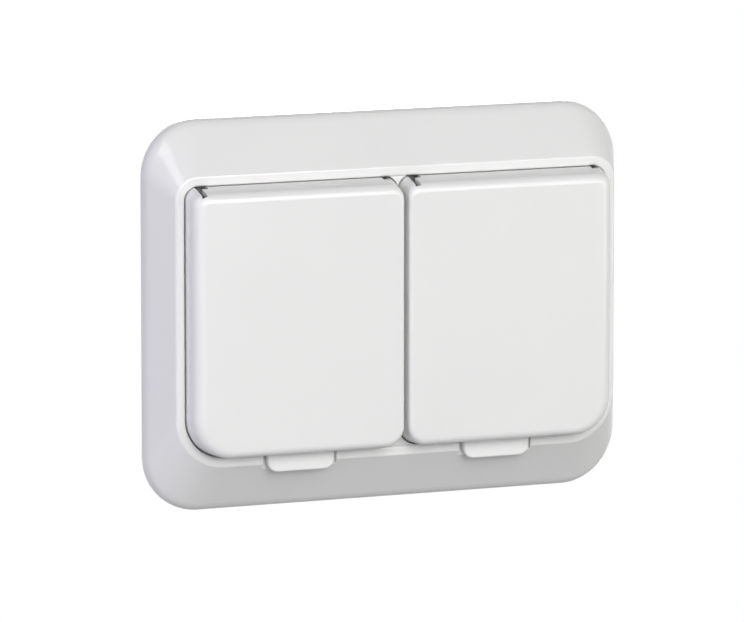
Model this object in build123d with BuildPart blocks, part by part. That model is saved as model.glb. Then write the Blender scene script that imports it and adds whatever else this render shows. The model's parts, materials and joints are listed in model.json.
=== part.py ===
import os
from math import cos, hypot, radians, sin, sqrt

from build123d import *

# Millimetres. X runs right, Z up, the wall is the plane Y = 0 and the front faces -Y.
# Every height below is measured from the wall towards the viewer.

# Frame
frame_width = 126.9
frame_height = 97.6
frame_corner = 14.0
shoulder_start = 1.0
shoulder_end = 4.0
shoulder_steps = 3
rim_height = 12.5
rim_width = 2.3
rim_round = 0.7
frame_side = 6.85
recess_height = 67.7
recess_drop = 0.35
recess_corner_top = 3.5
recess_corner_bottom = 10.2
deck_height = 8.0
deck_thickness = 2.0
frame_wall = 2.0
web_drop = 0.2
web_margin = 0.05

# Lids
lid_gap = 0.35
lid_hinge_gap = 0.15
lid_split = 0.7
lid_deck_gap = 0.4
lid_straight_rise = 0.1
lid_crown = 6.0
lid_draft_side = 0.3
lid_draft_bottom = 0.3
lid_draft_top = 1.6
lid_edge_round = 1.9
lid_outer_round = 2.8
lid_inner_round = 0.9
lid_round_steps = 6
lid_corner_ease_top = 0.3
lid_corner_ease_bottom = 0.4
lid_corner_inner = 5.0
lid_hollow_corner = 1.2
lid_wall = 1.5
lid_top_wall = 1.2
lid_face = 1.8
lid_cup_share = 0.2
lid_top_cut = 3.6
tab_width = 17.6
tab_reach = 4.7
tab_root = 1.6
tab_sink = 0.4
tab_thickness = 1.6
tab_corner = 2.6
tab_edge_round = 0.6
tab_front_round = 0.5
tab_notch_gap = 1.0

# Hinges
hinge_face_gap = 2.2
hinge_drop = 4.4
hinge_pin_radius = 0.8
hinge_running_gap = 0.05
ear_radius = 1.5
ear_thickness = 1.2
ear_upper_half = 0.6
ear_side_gap = 0.3
slit_offset = 2.3
slit_width = 1.4
slit_reach = 3.2
ear_room = 0.4
ear_lean = 45.0
notch_offset = 2.2
notch_set_back = 0.8
knuckle_radius = 1.75
knuckle_width = 2.0
knuckle_drop = 2.6
knuckle_sink = 0.4
pin_end_gap = 0.2
pin_chamfer = 0.2

# Lid seals
seal_inset = 0.3
seal_width = 2.0
seal_cover = 1.5
seal_stand_off = 0.2
seal_groove_depth = 2.0
seal_groove_gap = 0.1
seal_seat_wall = 0.8
seal_lip_round = 0.6

# Socket cups
cup_bore_radius = 19.6
cup_wall = 2.0
cup_depth = 17.5
cup_floor = 2.2
cup_flange_lap = 1.3
cup_flange = 1.5
cup_mouth_chamfer = 0.8
cup_edge_round = 0.5
cup_clearance = 0.3
cup_boss_radius = 4.0
guide_rib_width = 4.4
guide_rib_reach = 2.0
guide_rib_drop = 1.5
pin_spacing = 19.0
pin_hole_radius = 2.8
pin_hole_chamfer = 0.7
earth_window_width = 8.4
earth_window_set_in = 3.2
earth_window_gap = 0.6

# Shutters
shutter_gap = 0.2
shutter_thickness = 2.2
shutter_rim = 1.8
shutter_room = 0.8
shutter_hub_wall = 2.3
shutter_turn = 34.0
shutter_lead_angle = 22.0
shutter_trail_lap = 28.0
shutter_window_radius = 2.9
shutter_window_chamfer = 0.6
shutter_post_angle = 110.0
shutter_post_radius = 0.8
shutter_post_inset = 1.8

# Metal strips
strip = 0.9
yoke_width = 10.0
yoke_arm_width = 7.6
yoke_arm_gap = 0.2
yoke_straight_depth = 13.3
yoke_contact_depth = 9.7
yoke_contact_set_in = 2.4
yoke_tip_depth = 7.1
yoke_tip_set_out = 0.6
yoke_floor_gap = 0.1
strap_width = 5.0
strap_z = 9.0
strap_end = 4.2
bar_width = 5.0
bar_z = 15.0
bar_lift = 0.5
blade_width = 5.0
blade_gap = 5.2
blade_pinch = 4.4
blade_tip_gap = 3.2
blade_lead = 2.4
terminal_side = 0.8
terminal_rise = 1.0
earth_tab_lift = 0.8
wire_pitch = 8.4
wire_radius = 1.6
wire_lead = 0.7
clamp_strip = 0.5
clamp_width = 5.0
clamp_reach = 4.3
clamp_lift = 1.0
clamp_length = 6.6
clamp_bite = 4.6

# Base, plate and fixings
base_wall = 2.3
base_rear_height = -28.0
base_flange_reach = 3.4
base_flange = 1.6
cover_thickness = 2.5
cover_edge_round = 0.8
cover_screw_gap = 1.05
cover_screw_bite = 5.4
plate_thickness = 1.0
plate_gap = 1.0
plate_height = 74.0
plate_corner = 8.0
plate_base_gap = 0.3
box_screw_spacing_x = 71.0
box_screw_spacing_z = 60.0
box_slot_width = 4.2
box_slot_length = 7.0
rivet_x = 16.0
rivet_inset = 2.0
rivet_radius = 0.9
rivet_gap = 0.05
rivet_head_radius = 1.3
rivet_head = 0.6
pocket_gap = 0.2
screw_radius = 1.45
screw_hole_gap = 0.1
screw_head_radius = 2.8
screw_head = 1.4
screw_end = 2.4
screw_slot_width = 0.7
screw_slot_depth = 0.8
screw_slot_reach = 1.6
cup_gasket_thickness = 0.8
cup_gasket_inset = 0.1
gasket_width = 2.6
gasket_depth = 2.0
gasket_gap = 0.1
gasket_ledge = 2.0

# Springs
spring_wire = 0.25
spring_slack = 0.02
spring_coil_radius = 1.25
spring_turns = 4
spring_pitch = 0.62
spring_offset = 8.4
spring_leg_drop = 6.6
spring_hook_reach = 1.4
spring_hook_wall = 0.8
spring_hook_gap = 0.08
spring_frame_leg_angle = 32.0
spring_deck_gap = 0.1
shutter_wire = 0.4
shutter_wire_height = 1.4
shutter_wire_bend = 0.9
shutter_leaf_gap = 0.05
shutter_leaf_inset = 1.2
shutter_leaf_rise = 1.3


def at(height):
    """Work plane parallel to the wall, local x to the right and local y up."""
    return Plane.XZ.offset(height)


def across(x):
    """Work plane square to X, local x towards the viewer and local y up."""
    return Plane(origin=(x, 0, 0), x_dir=(0, -1, 0), z_dir=(-1, 0, 0))


def outline(plane, left, right, bottom, top, corners):
    """Rectangle with a radius for each corner, from bottom left round to top left."""
    points = ((left, bottom), (right, bottom), (right, top), (left, top))
    with BuildSketch(plane) as shape:
        with Locations(((left + right) / 2, (bottom + top) / 2)):
            Rectangle(right - left, top - bottom)
        for (x, z), radius in zip(points, corners):
            fillet(shape.vertices().sort_by_distance((x, z, 0))[0], radius)
    return shape.sketch


def panel(plane, half_width, bottom, top, bottom_corner, top_corner):
    corners = (bottom_corner, bottom_corner, top_corner, top_corner)
    return outline(plane, -half_width, half_width, bottom, top, corners)


def centred(plane, half_width, half_height, corner):
    return panel(plane, half_width, -half_height, half_height, corner, corner)


def stadium(plane, radius):
    with BuildSketch(plane) as shape:
        SlotCenterToCenter(socket_pitch, 2 * radius)
    return shape.sketch


def disc(plane, radius, x, z):
    with BuildSketch(plane) as shape:
        with Locations((x, z)):
            Circle(radius)
    return shape.sketch


def ring(plane, outer, inner, x, z):
    with BuildSketch(plane) as shape:
        with Locations((x, z)):
            Circle(outer)
            Circle(inner, mode=Mode.SUBTRACT)
    return shape.sketch


def block(plane, left, right, bottom, top):
    with BuildSketch(plane) as shape:
        with Locations(((left + right) / 2, (bottom + top) / 2)):
            Rectangle(right - left, top - bottom)
    return shape.sketch


def folded(plane, points, bend, thickness):
    """Strip of constant thickness along a bent centre line."""
    with BuildSketch(plane) as shape:
        with BuildLine() as centre_line:
            FilletPolyline(*points, radius=bend)
        trace(centre_line.line, line_width=thickness)
    return shape.sketch


half_width = frame_width / 2
half_height = frame_height / 2
recess_width = frame_width - 2 * frame_side
recess_half_width = recess_width / 2
recess_top = recess_height / 2 - recess_drop
recess_bottom = recess_top - recess_height
rim_half_width = recess_half_width + rim_width
rim_top = recess_top + rim_width
rim_bottom = recess_bottom - rim_width
slope_foot = (shoulder_start + shoulder_end) / 2
slope_rise = rim_height - slope_foot
slope_run_side = half_width - rim_half_width
slope_run_top = half_height - rim_top
slope_run_bottom = half_height + rim_bottom
wall_side = frame_wall * hypot(slope_run_side, slope_rise) / slope_rise
wall_top = frame_wall * hypot(slope_run_top, slope_rise) / slope_rise
wall_bottom = frame_wall * hypot(slope_run_bottom, slope_rise) / slope_rise
deck_rear_height = deck_height - deck_thickness
lid_rear_height = deck_height + lid_deck_gap
lid_straight_height = rim_height + lid_straight_rise
lid_front_height = lid_straight_height + lid_crown
lid_ceiling = lid_front_height - lid_face
lid_top = recess_top - lid_hinge_gap
lid_bottom = recess_bottom + lid_gap
lid_outer = recess_half_width - lid_gap
lid_corner_top = recess_corner_top - lid_corner_ease_top
lid_corner_outer = recess_corner_bottom - lid_corner_ease_bottom
lid_inner = lid_split / 2
web_gap = lid_inner + web_margin
lid_slope = lid_draft_top / lid_crown
lid_round_depth = max(lid_outer_round, lid_inner_round, lid_edge_round)
tab_rear_height = rim_height - tab_sink
hinge_height = lid_ceiling - hinge_face_gap
hinge_z = lid_top - hinge_drop
cup_outer_radius = cup_bore_radius + cup_wall
cup_pocket_radius = cup_outer_radius + cup_clearance
cup_flange_radius = cup_pocket_radius + cup_flange_lap
flange_rear_height = deck_height + cup_gasket_thickness
cup_front_height = flange_rear_height + cup_flange
cup_floor_front = cup_front_height - cup_depth
cup_floor_rear = cup_floor_front - cup_floor
lid_cup_room = lid_outer - lid_inner - 2 * (lid_wall + cup_flange_radius)
lid_cup_gap = lid_cup_share * lid_cup_room
socket_x = lid_inner + lid_wall + lid_cup_gap + cup_flange_radius
socket_pitch = 2 * socket_x
seal_inner_radius = cup_bore_radius + cup_mouth_chamfer + seal_inset
seal_front = lid_ceiling - seal_cover
seal_height = seal_front - cup_front_height - seal_stand_off
base_radius = cup_pocket_radius + base_wall
base_front_height = plate_thickness + base_flange
shutter_radius = pin_spacing / 2 + shutter_window_radius + shutter_rim
shutter_hub_radius = cup_boss_radius + shutter_gap + shutter_hub_wall
shutter_trail_angle = shutter_turn + shutter_trail_lap
shutter_post_reach = shutter_radius - shutter_post_inset
shutter_front = cup_floor_rear - shutter_gap
shutter_floor = shutter_front - shutter_thickness - shutter_gap
yoke_arm_outer = cup_outer_radius - yoke_arm_gap
yoke_tip_height = cup_front_height - yoke_tip_depth
yoke_front = shutter_floor - yoke_floor_gap
yoke_rear = yoke_front - strip
strap_rear = yoke_rear - strip
bar_rear_height = base_rear_height + bar_lift
bar_front_height = bar_rear_height + strip
blade_tip_height = shutter_floor - blade_tip_gap
clamp_rear_height = bar_front_height + clamp_lift
clamp_front_height = clamp_rear_height + clamp_length
terminal_tab_height = clamp_front_height + terminal_rise
terminal_half_width = (wire_pitch + clamp_width) / 2 + terminal_side
cover_rear_height = base_rear_height - cover_thickness
screw_tip_height = yoke_rear - screw_end
cover_screw_z = bar_z + bar_width / 2 + cover_screw_gap + screw_radius
cover_screw_tip_height = cup_floor_rear + cover_screw_bite
spring_end_angle = 180 - spring_frame_leg_angle
spring_length = (spring_turns + spring_end_angle / 360) * spring_pitch
gasket_half_width = half_width - frame_wall - gasket_gap
gasket_half_height = half_height - frame_wall - gasket_gap
rivet_z = base_radius + rivet_inset
sides = ((-1, "left"), (1, "right"))


def lid_span(side, inset):
    """Left and right edge of a lid, moved inwards by the inset."""
    if side < 0:
        return -lid_outer + inset, -lid_inner - inset
    return lid_inner + inset, lid_outer - inset


def lid_section(height, side, inset, bottom, top, upper, corner_change):
    left, right = lid_span(side, inset)
    outer = lid_corner_outer - corner_change
    inner = lid_corner_inner - corner_change
    bottoms = (outer, inner) if side < 0 else (inner, outer)
    return outline(at(height), left, right, bottom, top, (*bottoms, upper, upper))


def rounded(radius, depth):
    """Inset of a rounded edge at a depth behind the front face."""
    rise = max(radius - depth, 0)
    return radius - sqrt(radius**2 - rise**2)


def eased(corner, *insets):
    """Radius left to a corner when the edges beside it move inwards."""
    return corner**2 / (corner + sum(insets) / len(insets))


def crown_section(depth, side):
    """Outline of a lid at a depth behind its front face, with draft and rounded edges."""
    share = 1 - depth / lid_crown
    outer = rounded(lid_outer_round, depth)
    inner = rounded(lid_inner_round, depth)
    edge = rounded(lid_edge_round, depth)
    left, right = lid_span(side, share * lid_draft_side)
    bottom = lid_bottom + share * lid_draft_bottom + edge
    top = lid_top - share * lid_draft_top - edge
    outer_corners = eased(lid_corner_outer, outer, edge), eased(lid_corner_top, outer, edge)
    inner_corners = eased(lid_corner_inner, inner, edge), eased(lid_corner_top, inner, edge)
    plane = at(lid_front_height - depth)
    if side < 0:
        corners = (*outer_corners[:1], *inner_corners, *outer_corners[1:])
        return outline(plane, left + outer, right - inner, bottom, top, corners)
    corners = (*inner_corners[:1], *outer_corners, *inner_corners[1:])
    return outline(plane, left + inner, right - outer, bottom, top, corners)


def lid_hollow_top(height):
    """Inside of a lid's sloped top wall."""
    return lid_top - lid_top_wall - lid_slope * (height - lid_straight_height)


def grown_lid(side):
    """Outline of a lid with the room that the webs of the frame leave round it."""
    upper = lid_corner_top + web_gap
    bottom, top = lid_bottom - web_gap, lid_top + web_gap
    return lid_section(deck_height, side, -web_gap, bottom, top, upper, -web_gap)


def spring_right(side):
    """Right end of a lid spring's coil."""
    return lid_span(side, 0)[0] + spring_offset + spring_length


def slit_span(side):
    """Open slit at the left end of a lid."""
    left = lid_span(side, 0)[0] + slit_offset
    return left, left + slit_width


def notch_spans(side):
    """Room for each of the two ears of a lid, the left one beside the slit."""
    room = ear_thickness + 2 * ear_side_gap
    left = slit_span(side)[1]
    right = lid_span(side, 0)[1] - notch_offset
    return (left, left + room), (right - room, right)


def ear_profile(plane):
    """Post that leans up from the deck to a round head on the hinge axis."""
    post = (hinge_height - deck_rear_height) / cos(radians(ear_lean))
    with BuildSketch(plane) as shape:
        with Locations((hinge_height, hinge_z)):
            Circle(ear_radius)
            with Locations(Location((0, 0), ear_lean)):
                with Locations((-post / 2, (ear_upper_half - ear_radius) / 2)):
                    Rectangle(post, ear_radius + ear_upper_half)
        with BuildLine():
            Polyline(
                (-deck_rear_height, hinge_z - recess_height),
                (deck_rear_height, hinge_z - recess_height),
                (deck_rear_height, hinge_z + recess_height),
                (-deck_rear_height, hinge_z + recess_height),
                close=True,
            )
        make_face(mode=Mode.SUBTRACT)
    return shape.sketch


def frame_fall(height):
    """Share of the slope covered at a height: none at the foot, all of it at the rim."""
    if height < shoulder_end:
        return (height - shoulder_start) ** 2 / (2 * (shoulder_end - shoulder_start) * slope_rise)
    return (height - slope_foot) / slope_rise


def frame_section(height, inset_side=0.0, inset_bottom=0.0, inset_top=0.0):
    fall = frame_fall(height)
    return panel(
        at(height),
        half_width - fall * slope_run_side - inset_side,
        -half_height + fall * slope_run_bottom + inset_bottom,
        half_height - fall * slope_run_top - inset_top,
        frame_corner + fall * (recess_corner_bottom + rim_width - frame_corner),
        frame_corner + fall * (recess_corner_top + rim_width - frame_corner),
    )


with BuildPart() as frame:
    foot = centred(at(0), half_width, half_height, frame_corner)
    extrude(foot, amount=shoulder_start)
    shoulder_step = (shoulder_end - shoulder_start) / shoulder_steps
    loft([frame_section(shoulder_start + i * shoulder_step) for i in range(shoulder_steps + 1)])
    loft([frame_section(shoulder_end), frame_section(rim_height)], ruled=True)
    hollow_foot = centred(
        at(gasket_depth),
        gasket_half_width - gasket_ledge,
        gasket_half_height - gasket_ledge,
        frame_corner - frame_wall,
    )
    hollow_top = frame_section(rim_height - frame_wall, wall_side, wall_bottom, wall_top)
    loft([hollow_foot, hollow_top], ruled=True, mode=Mode.SUBTRACT)
    gasket_seat = centred(
        at(0),
        gasket_half_width + gasket_gap,
        gasket_half_height + gasket_gap,
        frame_corner - frame_wall,
    )
    extrude(gasket_seat, amount=gasket_depth, mode=Mode.SUBTRACT)
    tub = panel(
        at(deck_rear_height),
        rim_half_width,
        rim_bottom,
        rim_top,
        recess_corner_bottom + rim_width,
        recess_corner_top + rim_width,
    )
    extrude(tub, amount=rim_height - deck_rear_height)
    recess = panel(
        at(deck_height),
        recess_half_width,
        recess_bottom,
        recess_top,
        recess_corner_bottom,
        recess_corner_top,
    )
    extrude(recess, amount=rim_height - deck_height, mode=Mode.SUBTRACT)
    rim_edges = frame.faces().sort_by(Axis.Y)[0].edges()
    fillet(rim_edges, rim_round)
    web_half = lid_inner + lid_corner_inner
    webs = block(at(deck_height), -web_half, web_half, recess_bottom, recess_top)
    for side in (-1, 1):
        webs -= grown_lid(side)
    extrude(webs, amount=rim_height - web_drop - deck_height)
    for side in (-1, 1):
        extrude(
            disc(at(deck_rear_height), cup_pocket_radius, side * socket_x, 0),
            amount=deck_thickness,
            mode=Mode.SUBTRACT,
        )
        notch_half = tab_width / 2 + tab_notch_gap
        extrude(
            block(
                at(tab_rear_height - tab_edge_round),
                side * socket_x - notch_half,
                side * socket_x + notch_half,
                -half_height,
                recess_bottom + rim_width,
            ),
            amount=rim_height,
            mode=Mode.SUBTRACT,
        )
        for _, notch_right in notch_spans(side):
            ear_right = notch_right - ear_side_gap
            extrude(ear_profile(across(ear_right)), amount=ear_thickness)
            extrude(
                disc(across(ear_right), hinge_pin_radius + hinge_running_gap, hinge_height, hinge_z),
                amount=ear_thickness,
                mode=Mode.SUBTRACT,
            )


def knuckle_profile(plane):
    """Web that hangs from the lid's face and slope with a round end on the hinge axis."""
    with BuildSketch(plane) as shape:
        with Locations((hinge_height, hinge_z)):
            Circle(knuckle_radius)
        with BuildLine():
            Polyline(
                (hinge_height, hinge_z - knuckle_radius),
                (lid_ceiling + knuckle_sink, hinge_z - knuckle_drop),
                (lid_ceiling + knuckle_sink, lid_hollow_top(lid_ceiling) + knuckle_sink),
                (hinge_height, lid_hollow_top(hinge_height) + knuckle_sink),
                close=True,
            )
        make_face()
    return shape.sketch


def make_tab(side):
    socket = side * socket_x
    half_tab = tab_width / 2
    with BuildPart() as tab:
        extrude(
            outline(
                at(tab_rear_height),
                socket - half_tab,
                socket + half_tab,
                lid_bottom - tab_reach,
                lid_bottom + tab_root,
                (tab_corner, tab_corner, tab_edge_round, tab_edge_round),
            ),
            amount=tab_thickness,
        )
        fillet(tab.faces().sort_by(Axis.Y)[0].edges(), tab_front_round)
    return tab.part


def make_lid(side):
    left, right = lid_span(side, 0)
    slit_left, slit_right = slit_span(side)
    left_notch, right_notch = notch_spans(side)
    socket = side * socket_x
    skirt = lid_straight_height - lid_rear_height
    hollow_top = lid_hollow_top(lid_straight_height)
    hollow_bottom = lid_bottom + lid_wall
    tab = make_tab(side)
    with BuildPart() as lid:
        extrude(lid_section(lid_rear_height, side, 0, lid_bottom, lid_top, lid_corner_top, 0), amount=skirt)
        loft([crown_section(depth, side) for depth in (lid_crown, lid_round_depth)], ruled=True)
        turns = [radians(90 * i / lid_round_steps) for i in range(lid_round_steps + 1)]
        loft([crown_section(lid_round_depth * (1 - sin(turn)), side) for turn in turns])
        hollow = (lid_hollow_corner, lid_wall)
        extrude(
            lid_section(lid_rear_height, side, lid_wall, hollow_bottom, hollow_top, *hollow),
            amount=skirt,
            mode=Mode.SUBTRACT,
        )
        ceiling_top = lid_hollow_top(lid_ceiling)
        ceiling_inset = lid_wall + lid_draft_side
        loft(
            [
                lid_section(lid_straight_height, side, lid_wall, hollow_bottom, hollow_top, *hollow),
                lid_section(lid_ceiling, side, ceiling_inset, hollow_bottom, ceiling_top, *hollow),
            ],
            ruled=True,
            mode=Mode.SUBTRACT,
        )
        extrude(
            block(at(0), left, right, hinge_z, recess_top),
            amount=hinge_height - lid_top_cut,
            mode=Mode.SUBTRACT,
        )
        for web_left, web_right in (
            (left + lid_wall, slit_left),
            (left_notch[1], left_notch[1] + knuckle_width),
            (right_notch[0] - knuckle_width, right_notch[0]),
        ):
            extrude(knuckle_profile(across(web_right)), amount=web_right - web_left)
        extrude(
            disc(across(right_notch[1]), hinge_pin_radius + hinge_running_gap, hinge_height, hinge_z),
            amount=right_notch[1] - left - lid_wall,
            mode=Mode.SUBTRACT,
        )
        for room_left, room_right, room_front in (
            (slit_left, slit_right, hinge_height + slit_reach),
            (*left_notch, hinge_height - notch_set_back),
            (*right_notch, hinge_height - notch_set_back),
        ):
            extrude(
                block(at(0), room_left, room_right, hinge_z - ear_radius - ear_room, recess_top),
                amount=room_front,
                mode=Mode.SUBTRACT,
            )
        seat_rear = seal_front - seal_groove_depth
        seat_outer = seal_inner_radius + seal_width + seal_groove_gap + seal_seat_wall
        seat_inner = seal_inner_radius - seal_groove_gap - seal_seat_wall
        extrude(ring(at(seat_rear), seat_outer, seat_inner, socket, 0), amount=lid_ceiling - seat_rear)
        extrude(
            ring(
                at(seat_rear),
                seal_inner_radius + seal_width + seal_groove_gap,
                seal_inner_radius - seal_groove_gap,
                socket,
                0,
            ),
            amount=seal_groove_depth,
            mode=Mode.SUBTRACT,
        )
        add(tab)
        hook_left = spring_right(side) + spring_hook_gap + spring_wire
        hook_z = hinge_z - spring_leg_drop
        hook_height = hinge_height + spring_coil_radius
        extrude(
            block(
                across(hook_left + spring_hook_reach),
                hook_height - 2 * spring_hook_wall,
                lid_ceiling + knuckle_sink,
                hook_z - spring_hook_wall,
                hook_z + spring_hook_wall,
            ),
            amount=spring_hook_reach,
        )
        extrude(
            disc(across(hook_left + spring_hook_reach), spring_wire + spring_hook_gap, hook_height, hook_z),
            amount=spring_hook_reach,
            mode=Mode.SUBTRACT,
        )
    return lid.part


def make_lid_seal(side):
    x = side * socket_x
    with BuildPart() as seal:
        extrude(
            ring(at(seal_front - seal_height), seal_inner_radius + seal_width, seal_inner_radius, x, 0),
            amount=seal_height,
        )
        fillet(seal.faces().sort_by(Axis.Y)[-1].edges(), seal_lip_round)
    return seal.part


def make_hinge_pin(side):
    pin_left = lid_span(side, 0)[0] + lid_wall + pin_end_gap
    pin_right = notch_spans(side)[1][1] - pin_end_gap
    with BuildPart() as pin:
        extrude(
            disc(across(pin_right), hinge_pin_radius, hinge_height, hinge_z), amount=pin_right - pin_left
        )
        chamfer(pin.edges(), pin_chamfer)
    return pin.part


def make_lid_spring(side):
    """Coil round the hinge pin with a hooked leg in the lid and a straight leg on the deck."""
    coil_right = spring_right(side)
    coil_left = coil_right - spring_length
    front = -(hinge_height + spring_coil_radius)
    hook_z = hinge_z - spring_leg_drop
    lean = radians(spring_frame_leg_angle)
    leg_start = hinge_height - spring_coil_radius * cos(lean)
    leg_end = deck_height + spring_wire + spring_deck_gap
    leg = (leg_start - leg_end) / sin(lean)
    with BuildPart() as spring:
        with BuildSketch(across(coil_right + spring_wire)):
            with Locations((hinge_height, hinge_z)):
                Circle(spring_coil_radius + spring_wire + spring_slack)
                Circle(spring_coil_radius - spring_wire - spring_slack, mode=Mode.SUBTRACT)
        extrude(amount=spring_length + 2 * spring_wire)
        with BuildLine() as hooked_leg:
            FilletPolyline(
                (coil_right, front, hinge_z),
                (coil_right, front, hook_z),
                (coil_right + spring_hook_reach, front, hook_z),
                radius=2 * spring_wire,
            )
        with BuildSketch(Plane(origin=(coil_right, front, hinge_z), z_dir=(0, 0, -1))):
            Circle(spring_wire)
        sweep(path=hooked_leg.line)
        leg_origin = (coil_left, -leg_start, hinge_z + spring_coil_radius * sin(lean))
        with BuildSketch(Plane(origin=leg_origin, z_dir=(0, sin(lean), -cos(lean)))):
            Circle(spring_wire)
        extrude(amount=leg)
    return spring.part


def countersunk(x, z, face, tip, grow):
    """Half section of a screw on a line parallel to Y, with its head flush in a face."""
    towards = 1 if face > tip else -1
    radius = screw_radius + grow
    with BuildSketch(across(x)) as half:
        with BuildLine():
            Polyline(
                (face, z),
                (face, z + screw_head_radius + grow),
                (face - towards * screw_head, z + radius),
                (tip, z + radius),
                (tip, z),
                close=True,
            )
        make_face()
    return half.sketch


def make_screw(x, z, face, tip):
    towards = 1 if face > tip else -1
    with BuildPart() as screw:
        revolve(countersunk(x, z, face, tip, 0), axis=Axis((x, 0, z), (0, -1, 0)))
        for slot_width, slot_height in (
            (2 * screw_slot_reach, screw_slot_width),
            (screw_slot_width, 2 * screw_slot_reach),
        ):
            with BuildSketch(at(face)):
                with Locations((x, z)):
                    Rectangle(slot_width, slot_height)
            extrude(amount=-towards * screw_slot_depth, mode=Mode.SUBTRACT)
    return screw.part


def make_cup(side):
    x = side * socket_x
    with BuildPart() as cup:
        extrude(disc(at(cup_floor_rear), cup_outer_radius, x, 0), amount=cup_front_height - cup_floor_rear)
        extrude(disc(at(flange_rear_height), cup_flange_radius, x, 0), amount=cup_flange)
        fillet(cup.faces().sort_by(Axis.Y)[0].edges(), cup_edge_round)
        extrude(disc(at(cup_floor_front), cup_bore_radius, x, 0), amount=cup_depth, mode=Mode.SUBTRACT)
        chamfer(cup.faces().sort_by(Axis.Y)[0].inner_wires()[0].edges(), cup_mouth_chamfer)
        extrude(disc(at(yoke_front), cup_boss_radius, x, 0), amount=cup_floor_rear - yoke_front)
        for way in (-1, 1):
            rib_edges = sorted((x + way * (cup_bore_radius - guide_rib_reach), x + way * cup_outer_radius))
            with BuildSketch(at(cup_floor_front)) as rib:
                with Locations((x, 0)):
                    Circle(cup_bore_radius + cup_edge_round)
                with Locations(((rib_edges[0] + rib_edges[1]) / 2, 0)):
                    Rectangle(rib_edges[1] - rib_edges[0], guide_rib_width, mode=Mode.INTERSECT)
            extrude(rib.sketch, amount=cup_depth - guide_rib_drop)
            pin_x = x + way * pin_spacing / 2
            pin_hole = disc(at(cup_floor_rear), pin_hole_radius, pin_x, 0)
            extrude(pin_hole, amount=cup_floor, mode=Mode.SUBTRACT)
            chamfer(cup.edges(Select.LAST).group_by(Axis.Y)[0], pin_hole_chamfer)
            window_inner = cup_bore_radius - earth_window_set_in
            window_edges = sorted((way * window_inner, way * cup_pocket_radius))
            extrude(
                block(
                    at(cup_floor_rear),
                    x - earth_window_width / 2,
                    x + earth_window_width / 2,
                    window_edges[0],
                    window_edges[1],
                ),
                amount=yoke_tip_height + earth_window_gap - cup_floor_rear,
                mode=Mode.SUBTRACT,
            )
        revolve(
            countersunk(x, 0, cup_floor_front, yoke_rear, screw_hole_gap),
            axis=Axis((x, 0, 0), (0, -1, 0)),
            mode=Mode.SUBTRACT,
        )
    return cup.part


def make_cup_gasket(side):
    with BuildPart() as gasket:
        extrude(
            ring(
                at(deck_height),
                cup_flange_radius - cup_gasket_inset,
                cup_pocket_radius,
                side * socket_x,
                0,
            ),
            amount=flange_rear_height - deck_height,
        )
    return gasket.part


def make_shutter(side):
    x = side * socket_x
    rear = shutter_front - shutter_thickness
    with BuildPart() as shutter:
        extrude(disc(at(rear), shutter_hub_radius, x, 0), amount=shutter_thickness)
        for turn in (0, 180):
            with BuildSketch(at(rear)) as wing:
                with BuildLine():
                    span = shutter_trail_angle + shutter_lead_angle
                    arc = CenterArc((x, 0), shutter_radius, turn - shutter_trail_angle, span)
                    Polyline(arc @ 1, (x, 0), arc @ 0)
                make_face()
            extrude(wing.sketch, amount=shutter_thickness)
        boss_hole = disc(at(rear), cup_boss_radius + shutter_gap, x, 0)
        extrude(boss_hole, amount=shutter_thickness, mode=Mode.SUBTRACT)
        for turn in (0, 180):
            angle = radians(turn - shutter_turn)
            window_x = x + pin_spacing / 2 * cos(angle)
            extrude(
                disc(at(rear), shutter_window_radius, window_x, pin_spacing / 2 * sin(angle)),
                amount=shutter_thickness,
                mode=Mode.SUBTRACT,
            )
            chamfer(shutter.edges(Select.LAST).group_by(Axis.Y)[0], shutter_window_chamfer)
    return shutter.part


def make_shutter_spring(side):
    """Bent leaf between the leading edge of a shutter wing and the post in the base."""
    x = side * socket_x
    leaf_reach = shutter_radius - shutter_leaf_inset
    leaf_apex = shutter_hub_radius + shutter_leaf_rise
    lead = radians(shutter_lead_angle) + (shutter_wire / 2 + shutter_leaf_gap) / leaf_reach
    post = radians(shutter_post_angle)
    stop = post - (shutter_post_radius + shutter_wire / 2 + shutter_leaf_gap) / shutter_post_reach
    middle = (lead + stop) / 2
    points = (
        (x + leaf_reach * cos(lead), leaf_reach * sin(lead)),
        (x + leaf_apex * cos(middle), leaf_apex * sin(middle)),
        (x + shutter_post_reach * cos(stop), shutter_post_reach * sin(stop)),
    )
    leaf_rear = shutter_front - (shutter_thickness + shutter_wire_height) / 2
    with BuildPart() as leaf:
        extrude(folded(at(leaf_rear), points, shutter_wire_bend, shutter_wire), amount=shutter_wire_height)
    return leaf.part


def make_earth_yoke(side):
    x = side * socket_x
    arm = yoke_arm_outer - strip / 2
    back = yoke_front - strip / 2
    straight_height = cup_front_height - yoke_straight_depth
    contact_height = cup_front_height - yoke_contact_depth
    contact_reach = cup_bore_radius - yoke_contact_set_in
    tip_reach = cup_bore_radius + yoke_tip_set_out
    points = (
        (yoke_tip_height, -tip_reach),
        (contact_height, -contact_reach),
        (straight_height, -arm),
        (back, -arm),
        (back, arm),
        (straight_height, arm),
        (contact_height, contact_reach),
        (yoke_tip_height, tip_reach),
    )
    with BuildPart() as yoke:
        extrude(folded(across(x + yoke_arm_width / 2), points, strip, strip), amount=yoke_arm_width)
        extrude(
            block(at(yoke_rear), x - yoke_width / 2, x + yoke_width / 2, -shutter_radius, shutter_radius),
            amount=strip,
        )
        extrude(disc(at(yoke_rear), screw_radius + screw_hole_gap, x, 0), amount=strip, mode=Mode.SUBTRACT)
    return yoke.part


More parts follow.
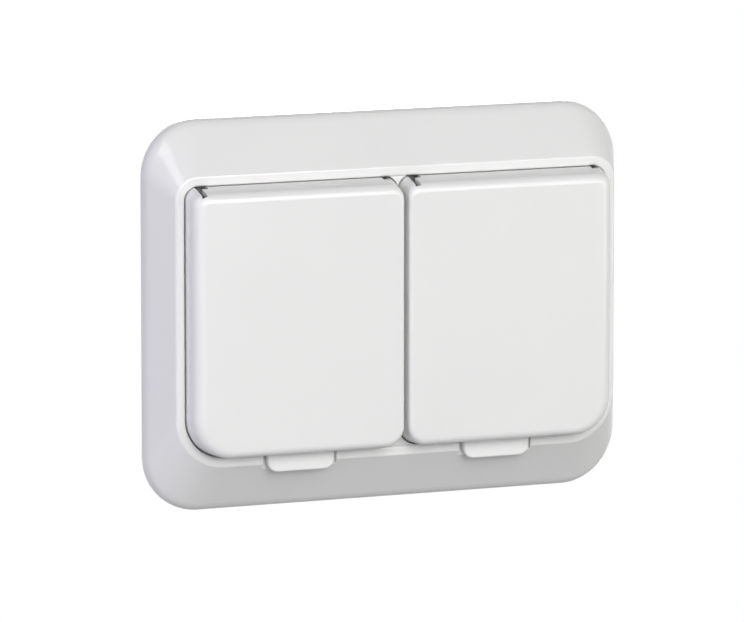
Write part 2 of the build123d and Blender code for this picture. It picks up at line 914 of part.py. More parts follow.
with BuildPart() as earth_strap:
    strap_half = socket_x + strap_end
    strap_bottom = strap_z - strap_width / 2
    earth_tab_height = clamp_rear_height + earth_tab_lift
    extrude(
        block(at(strap_rear), -strap_half, strap_half, strap_bottom, strap_bottom + strap_width),
        amount=strip,
    )
    extrude(
        block(
            at(earth_tab_height),
            -terminal_half_width,
            terminal_half_width,
            strap_bottom,
            strap_bottom + strip,
        ),
        amount=strap_rear - earth_tab_height,
    )


with BuildPart() as live_bar:
    live_pins = (-socket_x - pin_spacing / 2, socket_x - pin_spacing / 2)
    extrude(
        block(
            at(bar_rear_height),
            live_pins[0] - bar_width / 2,
            live_pins[1] + bar_width / 2,
            bar_z - bar_width / 2,
            bar_z + bar_width / 2,
        ),
        amount=strip,
    )
    blade = (blade_gap + strip) / 2
    pinch = (blade_pinch + strip) / 2
    bar_middle = bar_front_height - strip / 2
    blade_pinch_height = blade_tip_height - blade_lead
    blade_points = (
        (blade_tip_height, -blade),
        (blade_pinch_height, -pinch),
        (bar_middle, -blade),
        (bar_middle, blade),
        (blade_pinch_height, pinch),
        (blade_tip_height, blade),
    )
    for pin_x in live_pins:
        extrude(
            block(at(bar_rear_height), pin_x - bar_width / 2, pin_x + bar_width / 2, 0, bar_z),
            amount=strip,
        )
        extrude(
            folded(across(pin_x + blade_width / 2), blade_points, strip, strip),
            amount=blade_width,
        )
    extrude(
        block(
            at(bar_rear_height),
            -terminal_half_width,
            terminal_half_width,
            bar_z + bar_width / 2 - strip,
            bar_z + bar_width / 2,
        ),
        amount=terminal_tab_height - bar_rear_height,
    )
    for way in (-1, 1):
        extrude(
            disc(at(bar_rear_height), wire_radius + pocket_gap, way * wire_pitch / 2, bar_z),
            amount=strip,
            mode=Mode.SUBTRACT,
        )


earth_wire_z = strap_bottom - wire_radius
live_wire_z = bar_z + bar_width / 2 - strip - wire_radius
# Every pole has two wire entries: x, z and the side its clamp spring lies on
wire_entries = [
    (way * wire_pitch / 2, z, pull)
    for z, pull in ((live_wire_z, -1), (earth_wire_z, -1), (-live_wire_z, 1))
    for way in (-1, 1)
]

with BuildPart() as clamp_springs:
    for wire_x, wire_z, pull in wire_entries:
        clamp_points = (
            (clamp_rear_height, wire_z + pull * clamp_reach),
            (clamp_front_height, wire_z + pull * clamp_reach),
            (clamp_front_height - clamp_bite, wire_z + pull * clamp_strip),
        )
        extrude(
            folded(across(wire_x + clamp_width / 2), clamp_points, clamp_strip, clamp_strip),
            amount=clamp_width,
        )


with BuildPart() as base_housing:
    extrude(stadium(at(cup_floor_rear), base_radius), amount=base_front_height - cup_floor_rear)
    extrude(stadium(at(plate_thickness), base_radius + base_flange_reach), amount=base_flange)
    for side in (-1, 1):
        extrude(
            disc(at(cup_floor_rear), cup_pocket_radius, side * socket_x, 0),
            amount=base_front_height - cup_floor_rear,
            mode=Mode.SUBTRACT,
        )
        extrude(
            disc(at(cup_floor_rear), screw_radius + screw_hole_gap, 0, side * cover_screw_z),
            amount=cover_screw_bite + pocket_gap,
            mode=Mode.SUBTRACT,
        )
        for way in (-1, 1):
            extrude(
                disc(at(plate_thickness), rivet_radius + rivet_gap, side * rivet_x, way * rivet_z),
                amount=base_flange,
                mode=Mode.SUBTRACT,
            )


with BuildPart() as contact_block:
    extrude(stadium(at(base_rear_height), base_radius), amount=cup_floor_rear - base_rear_height)
    for side in (-1, 1):
        x = side * socket_x
        extrude(
            disc(at(shutter_floor), shutter_radius + shutter_room, x, 0),
            amount=cup_floor_rear - shutter_floor,
            mode=Mode.SUBTRACT,
        )
        post = radians(shutter_post_angle)
        extrude(
            disc(
                at(shutter_floor),
                shutter_post_radius,
                x + shutter_post_reach * cos(post),
                shutter_post_reach * sin(post),
            ),
            amount=shutter_thickness,
        )
        yoke_room = yoke_width / 2 + pocket_gap
        yoke_end = yoke_arm_outer + pocket_gap
        extrude(
            block(at(yoke_rear), x - yoke_room, x + yoke_room, -yoke_end, yoke_end),
            amount=cup_floor_rear - yoke_rear,
            mode=Mode.SUBTRACT,
        )
        extrude(
            disc(at(screw_tip_height - pocket_gap), screw_radius + pocket_gap, x, 0),
            amount=yoke_rear - screw_tip_height + pocket_gap,
            mode=Mode.SUBTRACT,
        )
        for way in (-1, 1):
            pin_x = x + way * pin_spacing / 2
            contact_half = blade_width / 2 + 2 * pocket_gap
            contact_reach = blade_gap / 2 + strip + 2 * pocket_gap
            extrude(
                block(
                    at(base_rear_height),
                    pin_x - contact_half,
                    pin_x + contact_half,
                    -contact_reach,
                    contact_reach,
                ),
                amount=blade_tip_height + 2 * pocket_gap - base_rear_height,
                mode=Mode.SUBTRACT,
            )
            extrude(
                disc(at(blade_tip_height), pin_hole_radius + pocket_gap, pin_x, 0),
                amount=shutter_floor - blade_tip_height,
                mode=Mode.SUBTRACT,
            )
        extrude(
            disc(at(base_rear_height), screw_radius + screw_hole_gap, 0, side * cover_screw_z),
            amount=cup_floor_rear - base_rear_height,
            mode=Mode.SUBTRACT,
        )
    strap_room = strap_half + pocket_gap
    extrude(
        block(
            at(strap_rear),
            -strap_room,
            strap_room,
            strap_bottom - pocket_gap,
            strap_bottom + strap_width + pocket_gap,
        ),
        amount=cup_floor_rear - strap_rear,
        mode=Mode.SUBTRACT,
    )
    bar_depth = bar_front_height - base_rear_height + pocket_gap
    room = bar_width / 2 + pocket_gap
    for pole in (-1, 1):
        bar_ends = sorted((pole * live_pins[0], pole * live_pins[1]))
        extrude(
            block(
                at(base_rear_height),
                bar_ends[0] - room,
                bar_ends[1] + room,
                pole * bar_z - room,
                pole * bar_z + room,
            ),
            amount=bar_depth,
            mode=Mode.SUBTRACT,
        )
        for pin_x in bar_ends:
            branch = sorted((0, pole * bar_z))
            extrude(
                block(at(base_rear_height), pin_x - room, pin_x + room, branch[0], branch[1]),
                amount=bar_depth,
                mode=Mode.SUBTRACT,
            )
    for pocket_z, pull, pocket_front in (
        (live_wire_z, -1, terminal_tab_height),
        (earth_wire_z, -1, strap_rear),
        (-live_wire_z, 1, terminal_tab_height),
    ):
        pocket_edges = sorted(
            (
                pocket_z + pull * (clamp_reach + clamp_strip),
                pocket_z - pull * (wire_radius + strip + pocket_gap),
            )
        )
        extrude(
            block(
                at(base_rear_height),
                -terminal_half_width - pocket_gap,
                terminal_half_width + pocket_gap,
                pocket_edges[0],
                pocket_edges[1],
            ),
            amount=pocket_front + pocket_gap - base_rear_height,
            mode=Mode.SUBTRACT,
        )


with BuildPart() as rear_cover:
    extrude(stadium(at(cover_rear_height), base_radius), amount=cover_thickness)
    fillet(rear_cover.faces().sort_by(Axis.Y)[-1].edges(), cover_edge_round)
    for wire_x, wire_z, pull in wire_entries:
        extrude(
            disc(at(cover_rear_height), wire_radius, wire_x, wire_z),
            amount=cover_thickness,
            mode=Mode.SUBTRACT,
        )
        chamfer(rear_cover.edges(Select.LAST).group_by(Axis.Y)[-1], wire_lead)
    for side in (-1, 1):
        revolve(
            countersunk(0, side * cover_screw_z, cover_rear_height, base_rear_height, screw_hole_gap),
            axis=Axis((0, 0, side * cover_screw_z), (0, -1, 0)),
            mode=Mode.SUBTRACT,
        )


with BuildPart() as rear_cover_screws:
    for side in (-1, 1):
        add(make_screw(0, side * cover_screw_z, cover_rear_height, cover_screw_tip_height))


with BuildPart() as support_plate:
    plate_corners = (plate_corner, plate_corner, plate_corner, plate_corner)
    half_plate = gasket_half_width - gasket_width - plate_gap
    half_plate_height = plate_height / 2
    extrude(
        outline(at(0), -half_plate, half_plate, -half_plate_height, half_plate_height, plate_corners),
        amount=plate_thickness,
    )
    extrude(stadium(at(0), base_radius + plate_base_gap), amount=plate_thickness, mode=Mode.SUBTRACT)
    for side in (-1, 1):
        for way in (-1, 1):
            with BuildSketch(at(0)):
                with Locations((side * box_screw_spacing_x / 2, way * box_screw_spacing_z / 2)):
                    SlotOverall(box_slot_length, box_slot_width)
                with Locations((side * rivet_x, way * rivet_z)):
                    Circle(rivet_radius + rivet_gap)
            extrude(amount=plate_thickness, mode=Mode.SUBTRACT)


with BuildPart() as plate_rivets:
    for side in (-1, 1):
        for way in (-1, 1):
            rivet_at = (side * rivet_x, way * rivet_z)
            extrude(disc(at(-rivet_head), rivet_head_radius, *rivet_at), amount=rivet_head)
            extrude(disc(at(0), rivet_radius, *rivet_at), amount=base_front_height)
            extrude(disc(at(base_front_height), rivet_head_radius, *rivet_at), amount=rivet_head)


with BuildPart() as wall_gasket:
    gasket_corner = frame_corner - frame_wall - gasket_gap
    extrude(
        centred(at(0), gasket_half_width, gasket_half_height, gasket_corner),
        amount=gasket_depth,
    )
    extrude(
        centred(
            at(0),
            gasket_half_width - gasket_width,
            gasket_half_height - gasket_width,
            gasket_corner - gasket_width,
        ),
        amount=gasket_depth,
        mode=Mode.SUBTRACT,
    )


pieces = {
    "frame": frame.part,
    "earth_strap": earth_strap.part,
    "live_bar": live_bar.part,
    "neutral_bar": live_bar.part.rotate(Axis.Y, 180),
    "clamp_springs": clamp_springs.part,
    "base_housing": base_housing.part,
    "contact_block": contact_block.part,
    "rear_cover": rear_cover.part,
    "rear_cover_screws": rear_cover_screws.part,
    "support_plate": support_plate.part,
    "plate_rivets": plate_rivets.part,
    "wall_gasket": wall_gasket.part,
}
for side, hand in sides:
    pieces[f"{hand}_lid"] = make_lid(side)
    pieces[f"{hand}_lid_seal"] = make_lid_seal(side)
    pieces[f"{hand}_hinge_pin"] = make_hinge_pin(side)
    pieces[f"{hand}_lid_spring"] = make_lid_spring(side)
    pieces[f"{hand}_cup"] = make_cup(side)
    pieces[f"{hand}_cup_gasket"] = make_cup_gasket(side)
    pieces[f"{hand}_cup_screw"] = make_screw(side * socket_x, 0, cup_floor_front, screw_tip_height)
    pieces[f"{hand}_shutter"] = make_shutter(side)
    pieces[f"{hand}_shutter_spring"] = make_shutter_spring(side)
    pieces[f"{hand}_earth_yoke"] = make_earth_yoke(side)

os.makedirs("parts", exist_ok=True)
for label, piece in pieces.items():
    piece.label = label
    export_step(piece, f"parts/{label}.step")
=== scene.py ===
import json
from math import cos, pi, radians, sin

import bpy
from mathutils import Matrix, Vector


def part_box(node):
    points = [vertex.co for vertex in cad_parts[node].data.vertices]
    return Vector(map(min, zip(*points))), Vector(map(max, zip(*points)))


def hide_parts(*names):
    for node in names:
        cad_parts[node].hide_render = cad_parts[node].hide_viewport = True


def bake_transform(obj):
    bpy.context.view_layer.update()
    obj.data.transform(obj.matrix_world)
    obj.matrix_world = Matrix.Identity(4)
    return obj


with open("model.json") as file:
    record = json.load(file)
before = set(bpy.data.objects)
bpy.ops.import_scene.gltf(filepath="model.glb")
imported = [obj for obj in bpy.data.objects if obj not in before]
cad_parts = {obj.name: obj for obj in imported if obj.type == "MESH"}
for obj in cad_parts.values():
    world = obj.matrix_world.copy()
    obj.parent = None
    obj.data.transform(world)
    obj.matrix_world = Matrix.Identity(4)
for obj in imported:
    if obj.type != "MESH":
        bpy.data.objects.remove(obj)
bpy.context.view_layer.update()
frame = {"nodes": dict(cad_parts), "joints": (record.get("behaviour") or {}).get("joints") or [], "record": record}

# Metres, in the part's own frame: X runs right, Y into the wall and Z up.

# Camera
PHOTO_WIDTH = 744
PHOTO_HEIGHT = 622
SENSOR_WIDTH_MM = 36.0
FOCAL_LENGTH_PIXELS = 6790.0
CAMERA_AZIMUTH = radians(-22.727)
CAMERA_ELEVATION = radians(8.456)
CAMERA_DISTANCE = 1.6976
ORIGIN_PIXEL = (378.55, 303.1)

# Studio
FLOOR_HEIGHT = -0.6
FLOOR_RADIUS = 9.0
FLOOR_SIDES = 96
FLOOR_GREY = 0.3
FLOOR_ROUGHNESS = 0.9
FLOOR_FADE_START = 0.8
FLOOR_FADE_END = 2.4
FLOOR_NEAR_WHITE = 0.6
SKY_TOP = (0.03, 0.03, 0.03)
SKY_BOTTOM = (0.02, 0.02, 0.02)
# Name, direction towards the lamp, distance, width, height, watts and colour
LAMPS = (
    ("front_high_softbox", (0.0, -1.0, 0.5), 1.60, 1.20, 0.80, 15.0, (1.0, 1.0, 0.995)),
    ("front_softbox", (0.0, -1.0, 0.1), 1.60, 1.20, 1.00, 2.7, (1.0, 0.995, 0.985)),
    ("front_left_softbox", (-0.7, -0.7, 0.1), 1.60, 0.80, 0.80, 2.7, (1.0, 0.995, 0.99)),
    ("front_right_softbox", (0.7, -0.7, 0.1), 1.60, 0.80, 0.80, 5.5, (1.0, 0.995, 0.985)),
    ("rear_softbox", (0.25, 0.95, 0.1), 1.60, 0.80, 0.80, 7.0, (1.0, 1.0, 1.0)),
)
# The same for the washes that show in no highlight
WASHES = (
    ("left_softbox", (-1.0, -0.15, 0.12), 1.40, 0.80, 0.80, 8.0, (0.86, 0.84, 1.0)),
)
# The same for the cards that only show as highlights
CARDS = (
    ("top_left_card", (-0.66, -0.275, 0.72), 1.20, 0.36, 0.52, 1.6, (0.97, 0.98, 1.0)),
    ("top_right_card", (0.382, -0.838, 0.387), 1.40, 0.50, 0.95, 4.3, (1.0, 1.0, 1.0)),
)

# Materials: sizes and depths in metres, shades and ranges as shares of the colour or roughness
NOISE_LOW = 0.3
NOISE_HIGH = 0.7
PLASTIC_CLOUD_SIZE = 0.03
PLASTIC_CLOUD_SHADE = 0.985
PLASTIC_PATCH_SIZE = 0.012
PLASTIC_PATCH_RANGE = (0.9, 1.15)
RUBBER_BLOOM_SIZE = 0.004
RUBBER_BLOOM_SHADE = 0.6
RUBBER_PATCH_SIZE = 0.003
RUBBER_ROUGHNESS = (0.62, 0.8)
RUBBER_SKIN_SIZE = 0.0006
RUBBER_SKIN_DEPTH = 0.00001
METAL_CLOUD_SIZE = 0.006
METAL_CLOUD_SHADE = 0.86
METAL_GRAIN_SIZE = 0.0002
METAL_GRAIN_STRETCH = 40.0
METAL_GRAIN_RANGE = (0.8, 1.3)
ZINC_SPANGLES_PER_METRE = 260.0
ZINC_SPANGLE_SHADE = 0.72
ZINC_ROUGHNESS = (0.3, 0.48)
ZINC_SKIN_SIZE = 0.0008
ZINC_SKIN_DEPTH = 0.000008

# Lid springs
SPRING_WIRE_RADIUS = 0.00025
SPRING_COIL_RADIUS = 0.00125
SPRING_TURNS = 4
SPRING_HOOK_REACH = 0.0014
SPRING_LEG_LEAN = radians(32.0)
SPRING_STEPS_PER_TURN = 32
SPRING_WIRE_SIDES = 12
SPRING_CORNER_STEPS = 6
SPRING_SHARP_ANGLE = radians(50.0)


def link(thing):
    bpy.context.scene.collection.objects.link(thing)
    return thing


def make_camera():
    data = bpy.data.cameras.new("camera")
    data.sensor_width = SENSOR_WIDTH_MM
    data.lens = FOCAL_LENGTH_PIXELS / PHOTO_WIDTH * SENSOR_WIDTH_MM
    data.shift_x = (PHOTO_WIDTH / 2 - ORIGIN_PIXEL[0]) / PHOTO_WIDTH
    data.shift_y = (ORIGIN_PIXEL[1] - PHOTO_HEIGHT / 2) / PHOTO_WIDTH
    camera = link(bpy.data.objects.new("camera", data))
    back = Vector(
        (
            sin(CAMERA_AZIMUTH) * cos(CAMERA_ELEVATION),
            -cos(CAMERA_AZIMUTH) * cos(CAMERA_ELEVATION),
            sin(CAMERA_ELEVATION),
        )
    )
    camera.location = back * CAMERA_DISTANCE
    camera.rotation_euler = (-back).to_track_quat("-Z", "Y").to_euler()
    bpy.context.scene.camera = camera


def seen_directly(tree):
    """One where a camera, mirror or glass ray arrives, nought for light that falls on things."""
    path = tree.nodes.new("ShaderNodeLightPath")
    straight = tree.nodes.new("ShaderNodeMath")
    straight.operation = "MAXIMUM"
    tree.links.new(path.outputs["Is Camera Ray"], straight.inputs[0])
    tree.links.new(path.outputs["Is Transmission Ray"], straight.inputs[1])
    either = tree.nodes.new("ShaderNodeMath")
    either.operation = "MAXIMUM"
    tree.links.new(straight.outputs[0], either.inputs[0])
    tree.links.new(path.outputs["Is Glossy Ray"], either.inputs[1])
    return either.outputs[0]


def make_world():
    world = bpy.data.worlds.new("studio")
    bpy.context.scene.world = world
    world.use_nodes = True
    tree = world.node_tree
    tree.nodes.clear()
    direction = tree.nodes.new("ShaderNodeTexCoord")
    parts = tree.nodes.new("ShaderNodeSeparateXYZ")
    tree.links.new(direction.outputs["Generated"], parts.inputs[0])
    height = tree.nodes.new("ShaderNodeMapRange")
    height.inputs["From Min"].default_value = -1.0
    tree.links.new(parts.outputs["Z"], height.inputs["Value"])
    ramp = tree.nodes.new("ShaderNodeValToRGB")
    ramp.color_ramp.elements[0].color = (*SKY_BOTTOM, 1.0)
    ramp.color_ramp.elements[1].color = (*SKY_TOP, 1.0)
    tree.links.new(height.outputs["Result"], ramp.inputs["Fac"])
    sky = tree.nodes.new("ShaderNodeBackground")
    tree.links.new(ramp.outputs["Color"], sky.inputs["Color"])
    backdrop = tree.nodes.new("ShaderNodeBackground")
    backdrop.inputs["Color"].default_value = (1.0, 1.0, 1.0, 1.0)
    mix = tree.nodes.new("ShaderNodeMixShader")
    tree.links.new(seen_directly(tree), mix.inputs["Fac"])
    tree.links.new(sky.outputs[0], mix.inputs[1])
    tree.links.new(backdrop.outputs[0], mix.inputs[2])
    output = tree.nodes.new("ShaderNodeOutputWorld")
    tree.links.new(mix.outputs[0], output.inputs["Surface"])


def make_floor():
    """Pale paper that keeps the shadow below the object and turns to white further out."""
    ring = [2 * pi * i / FLOOR_SIDES for i in range(FLOOR_SIDES)]
    points = [(FLOOR_RADIUS * cos(a), FLOOR_RADIUS * sin(a), FLOOR_HEIGHT) for a in ring]
    mesh = bpy.data.meshes.new("floor")
    mesh.from_pydata(points, [], [range(FLOOR_SIDES)])
    floor = link(bpy.data.objects.new("floor", mesh))
    material = bpy.data.materials.new("floor_paper")
    material.use_nodes = True
    tree = material.node_tree
    paper = tree.nodes["Principled BSDF"]
    paper.inputs["Base Color"].default_value = (FLOOR_GREY, FLOOR_GREY, FLOOR_GREY, 1.0)
    paper.inputs["Roughness"].default_value = FLOOR_ROUGHNESS
    white = tree.nodes.new("ShaderNodeEmission")
    place = tree.nodes.new("ShaderNodeTexCoord")
    distance = tree.nodes.new("ShaderNodeVectorMath")
    distance.operation = "LENGTH"
    tree.links.new(place.outputs["Object"], distance.inputs[0])
    fade = tree.nodes.new("ShaderNodeMapRange")
    fade.inputs["From Min"].default_value = FLOOR_FADE_START
    fade.inputs["From Max"].default_value = FLOOR_FADE_END
    fade.inputs["To Min"].default_value = FLOOR_NEAR_WHITE
    tree.links.new(distance.outputs["Value"], fade.inputs["Value"])
    share = tree.nodes.new("ShaderNodeMath")
    share.operation = "MULTIPLY"
    tree.links.new(seen_directly(tree), share.inputs[0])
    tree.links.new(fade.outputs["Result"], share.inputs[1])
    mix = tree.nodes.new("ShaderNodeMixShader")
    tree.links.new(share.outputs[0], mix.inputs["Fac"])
    tree.links.new(paper.outputs[0], mix.inputs[1])
    tree.links.new(white.outputs[0], mix.inputs[2])
    tree.links.new(mix.outputs[0], tree.nodes["Material Output"].inputs["Surface"])
    mesh.materials.append(material)


def make_lamp(name, towards, distance, width, height, watts, colour):
    data = bpy.data.lights.new(name, "AREA")
    data.shape = "RECTANGLE"
    data.size = width
    data.size_y = height
    data.energy = watts
    data.color = colour
    lamp = link(bpy.data.objects.new(name, data))
    direction = Vector(towards).normalized()
    lamp.location = direction * distance
    lamp.rotation_euler = direction.to_track_quat("Z", "Y").to_euler()
    return lamp


def make_lamps():
    for row in LAMPS:
        make_lamp(*row)
    for row in WASHES:
        make_lamp(*row).visible_glossy = False
    for row in CARDS:
        make_lamp(*row).visible_diffuse = False


def noise(tree, size, detail=2.0, stretch=(1.0, 1.0, 1.0)):
    """Noise whose lumps are about so many metres across, longer along the stretched axes."""
    place = tree.nodes.new("ShaderNodeTexCoord")
    mapping = tree.nodes.new("ShaderNodeMapping")
    mapping.inputs["Scale"].default_value = tuple(1.0 / (size * s) for s in stretch)
    tree.links.new(place.outputs["Object"], mapping.inputs["Vector"])
    texture = tree.nodes.new("ShaderNodeTexNoise")
    texture.inputs["Scale"].default_value = 1.0
    texture.inputs["Detail"].default_value = detail
    tree.links.new(mapping.outputs["Vector"], texture.inputs["Vector"])
    return texture.outputs["Fac"]


def between(tree, factor, low, high):
    """Number that runs from low to high as the factor runs over the middle of a noise."""
    spread = tree.nodes.new("ShaderNodeMapRange")
    spread.inputs["From Min"].default_value = NOISE_LOW
    spread.inputs["From Max"].default_value = NOISE_HIGH
    spread.inputs["To Min"].default_value = low
    spread.inputs["To Max"].default_value = high
    tree.links.new(factor, spread.inputs["Value"])
    return spread.outputs["Result"]


def shade(tree, factor, colour, darker):
    """Colour that a noise clouds down to a share of itself."""
    ramp = tree.nodes.new("ShaderNodeValToRGB")
    ramp.color_ramp.elements[0].position = NOISE_LOW
    ramp.color_ramp.elements[0].color = (*(darker * c for c in colour), 1.0)
    ramp.color_ramp.elements[1].position = NOISE_HIGH
    ramp.color_ramp.elements[1].color = (*colour, 1.0)
    tree.links.new(factor, ramp.inputs["Fac"])
    return ramp.outputs["Color"]


def bump(tree, factor, depth):
    """Normal for a skin whose lumps are so many metres deep."""
    node = tree.nodes.new("ShaderNodeBump")
    node.inputs["Strength"].default_value = 1.0
    node.inputs["Distance"].default_value = depth
    tree.links.new(factor, node.inputs["Height"])
    return node.outputs["Normal"]


def new_material(name):
    material = bpy.data.materials.new(name)
    material.use_nodes = True
    return material, material.node_tree, material.node_tree.nodes["Principled BSDF"]


def plastic(name, colour, roughness, skin_size, skin_depth):
    """Moulded plastic: faint clouds in the colour, uneven gloss and the skin of the mould."""
    material, tree, surface = new_material(name)
    clouds = noise(tree, PLASTIC_CLOUD_SIZE)
    tree.links.new(shade(tree, clouds, colour, PLASTIC_CLOUD_SHADE), surface.inputs["Base Color"])
    patches = noise(tree, PLASTIC_PATCH_SIZE, detail=3.0)
    low, high = (share * roughness for share in PLASTIC_PATCH_RANGE)
    tree.links.new(between(tree, patches, low, high), surface.inputs["Roughness"])
    skin = noise(tree, skin_size, detail=4.0)
    tree.links.new(bump(tree, skin, skin_depth), surface.inputs["Normal"])
    return material


def rubber(name, colour):
    """Soft rubber: chalky bloom over a dark base."""
    material, tree, surface = new_material(name)
    bloom = noise(tree, RUBBER_BLOOM_SIZE, detail=5.0)
    tree.links.new(shade(tree, bloom, colour, RUBBER_BLOOM_SHADE), surface.inputs["Base Color"])
    patches = noise(tree, RUBBER_PATCH_SIZE)
    tree.links.new(between(tree, patches, *RUBBER_ROUGHNESS), surface.inputs["Roughness"])
    skin = noise(tree, RUBBER_SKIN_SIZE, detail=3.0)
    tree.links.new(bump(tree, skin, RUBBER_SKIN_DEPTH), surface.inputs["Normal"])
    return material


def metal(name, colour, roughness, grain, depth):
    """Metal with a drawn, ground or rolled grain along the stretched axis."""
    material, tree, surface = new_material(name)
    surface.inputs["Metallic"].default_value = 1.0
    clouds = noise(tree, METAL_CLOUD_SIZE, detail=4.0)
    tree.links.new(shade(tree, clouds, colour, METAL_CLOUD_SHADE), surface.inputs["Base Color"])
    lines = noise(tree, METAL_GRAIN_SIZE, detail=3.0, stretch=grain)
    low, high = (share * roughness for share in METAL_GRAIN_RANGE)
    tree.links.new(between(tree, lines, low, high), surface.inputs["Roughness"])
    tree.links.new(bump(tree, lines, depth), surface.inputs["Normal"])
    return material


def galvanised(name, colour):
    """Hot-dip zinc: flat spangles of slightly different grey and gloss."""
    material, tree, surface = new_material(name)
    surface.inputs["Metallic"].default_value = 1.0
    place = tree.nodes.new("ShaderNodeTexCoord")
    spangle = tree.nodes.new("ShaderNodeTexVoronoi")
    spangle.inputs["Scale"].default_value = ZINC_SPANGLES_PER_METRE
    tree.links.new(place.outputs["Object"], spangle.inputs["Vector"])
    grey = tree.nodes.new("ShaderNodeRGBToBW")
    tree.links.new(spangle.outputs["Color"], grey.inputs["Color"])
    tone = grey.outputs["Val"]
    tree.links.new(shade(tree, tone, colour, ZINC_SPANGLE_SHADE), surface.inputs["Base Color"])
    tree.links.new(between(tree, tone, *ZINC_ROUGHNESS), surface.inputs["Roughness"])
    skin = noise(tree, ZINC_SKIN_SIZE, detail=3.0)
    tree.links.new(bump(tree, skin, ZINC_SKIN_DEPTH), surface.inputs["Normal"])
    return material


def make_materials():
    """One material for each slot of the record."""
    along_x = (METAL_GRAIN_STRETCH, 1.0, 1.0)
    along_y = (1.0, METAL_GRAIN_STRETCH, 1.0)
    even = (1.0, 1.0, 1.0)
    return {
        "cover_white": plastic("cover_white", (0.86, 0.858, 0.85), 0.13, 0.0016, 0.0000006),
        "cup_white": plastic("cup_white", (0.84, 0.838, 0.83), 0.32, 0.0009, 0.000002),
        "shutter_grey": plastic("shutter_grey", (0.62, 0.62, 0.61), 0.45, 0.0007, 0.000004),
        "base_grey": plastic("base_grey", (0.55, 0.56, 0.57), 0.5, 0.0006, 0.000006),
        "seal_rubber": rubber("seal_rubber", (0.08, 0.08, 0.08)),
        "contact_brass": metal("contact_brass", (0.78, 0.6, 0.3), 0.24, along_x, 0.000002),
        "earth_bronze": metal("earth_bronze", (0.8, 0.68, 0.45), 0.26, along_y, 0.000002),
        "spring_steel": metal("spring_steel", (0.62, 0.62, 0.63), 0.28, even, 0.000002),
        "pin_steel": metal("pin_steel", (0.66, 0.66, 0.67), 0.2, along_x, 0.000002),
        "screw_steel": metal("screw_steel", (0.68, 0.68, 0.66), 0.45, along_y, 0.000003),
        "plate_steel": galvanised("plate_steel", (0.65, 0.66, 0.67)),
        "rivet_aluminium": metal("rivet_aluminium", (0.75, 0.75, 0.76), 0.33, even, 0.000003),
    }


def paint_nodes(materials):
    for part in frame["record"]["subparts"]:
        mesh = frame["nodes"][part["node"]].data
        mesh.materials.clear()
        mesh.materials.append(materials[part["material_slot"]])


def swept(name, points, section, first_side):
    """Closed mesh of a section carried along a path without twist, with flat ends."""
    points = [Vector(p) for p in points]
    vertices = []
    side = Vector(first_side)
    for i, point in enumerate(points):
        ahead = points[min(i + 1, len(points) - 1)] - points[max(i - 1, 0)]
        ahead.normalize()
        side = (side - ahead * side.dot(ahead)).normalized()
        up = ahead.cross(side)
        vertices.extend(point + side * u + up * v for u, v in section)
    count = len(section)
    faces = [list(range(count))[::-1], [len(vertices) - count + k for k in range(count)]]
    for i in range(len(points) - 1):
        for k in range(count):
            turn = (k + 1) % count
            low, high = i * count, (i + 1) * count
            faces.append([low + k, low + turn, high + turn, high + k])
    mesh = bpy.data.meshes.new(name)
    mesh.from_pydata(vertices, [], faces)
    mesh.shade_smooth()
    mesh.set_sharp_from_angle(angle=SPRING_SHARP_ANGLE)
    return link(bpy.data.objects.new(name, mesh))


def quarter(corner, before, after, radius):
    """Points of a square corner rounded between two directions that point away from it."""
    before, after = Vector(before), Vector(after)
    centre = Vector(corner) + (before + after) * radius
    turns = [pi / 2 * i / SPRING_CORNER_STEPS for i in range(SPRING_CORNER_STEPS + 1)]
    return [centre - after * radius * cos(a) - before * radius * sin(a) for a in turns]


def joint_named(name):
    return next(joint for joint in frame["joints"] if joint["name"] == name)


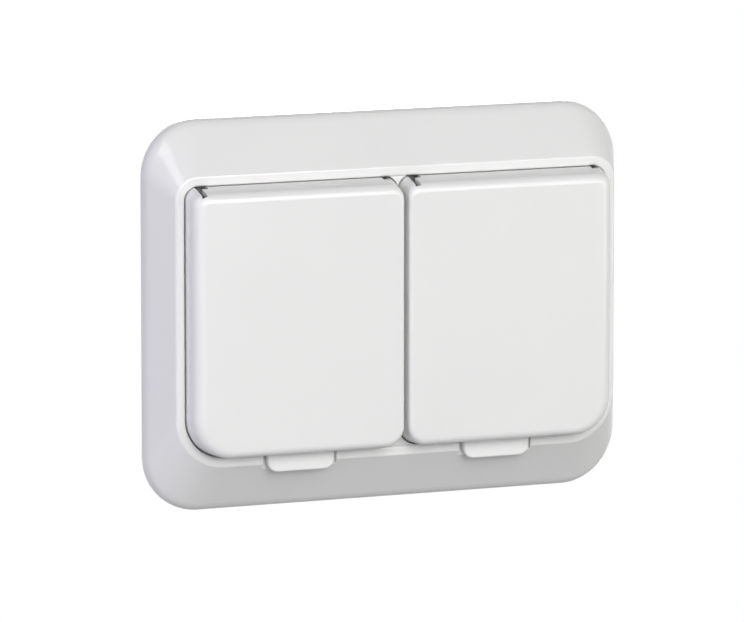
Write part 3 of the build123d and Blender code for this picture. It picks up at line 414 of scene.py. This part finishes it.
def make_lid_spring(hand, materials):
    """Wound torsion spring: a hooked leg in the lid, the coil and a straight leg on the deck."""
    node = f"{hand}_lid_spring"
    low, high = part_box(node)
    axis = Vector(joint_named(f"{hand}_lid_hinge")["pos_m"])
    coil_left = low.x + SPRING_WIRE_RADIUS
    coil_right = high.x - SPRING_HOOK_REACH
    hook_z = low.z + SPRING_WIRE_RADIUS
    front = axis.y - SPRING_COIL_RADIUS
    bend = 2 * SPRING_WIRE_RADIUS
    points = [Vector((high.x, front, hook_z))]
    points += quarter((coil_right, front, hook_z), (1, 0, 0), (0, 0, 1), bend)
    end_angle = 2 * pi * SPRING_TURNS + pi - SPRING_LEG_LEAN
    steps = round(end_angle / (2 * pi) * SPRING_STEPS_PER_TURN)
    for i in range(steps + 1):
        angle = end_angle * i / steps
        x = coil_right + (coil_left - coil_right) * i / steps
        y = axis.y - SPRING_COIL_RADIUS * cos(angle)
        points.append(Vector((x, y, axis.z + SPRING_COIL_RADIUS * sin(angle))))
    deck_end = high.y - SPRING_WIRE_RADIUS * cos(SPRING_LEG_LEAN)
    leg = (deck_end - points[-1].y) / sin(SPRING_LEG_LEAN)
    points.append(points[-1] + Vector((0, sin(SPRING_LEG_LEAN), -cos(SPRING_LEG_LEAN))) * leg)
    turns = [2 * pi * k / SPRING_WIRE_SIDES for k in range(SPRING_WIRE_SIDES)]
    section = [(SPRING_WIRE_RADIUS * cos(a), SPRING_WIRE_RADIUS * sin(a)) for a in turns]
    spring = swept(f"{hand}_lid_coil", points, section, (0, 1, 0))
    spring.data.materials.append(materials["spring_steel"])
    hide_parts(node)
    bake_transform(spring)


def make_shutter_spring(hand):
    """Copy of the leaf spring between its post in the socket, top left, and the shutter's wing."""
    node = frame["nodes"][f"{hand}_shutter_spring"]
    leaf = link(bpy.data.objects.new(f"{hand}_shutter_leaf", node.data.copy()))
    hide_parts(node.name)
    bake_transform(leaf)


view = bpy.context.scene.view_settings
view.view_transform = "Standard"
make_camera()
make_world()
make_floor()
make_lamps()
slots = make_materials()
paint_nodes(slots)
for hand in ("left", "right"):
    make_lid_spring(hand, slots)
    make_shutter_spring(hand)
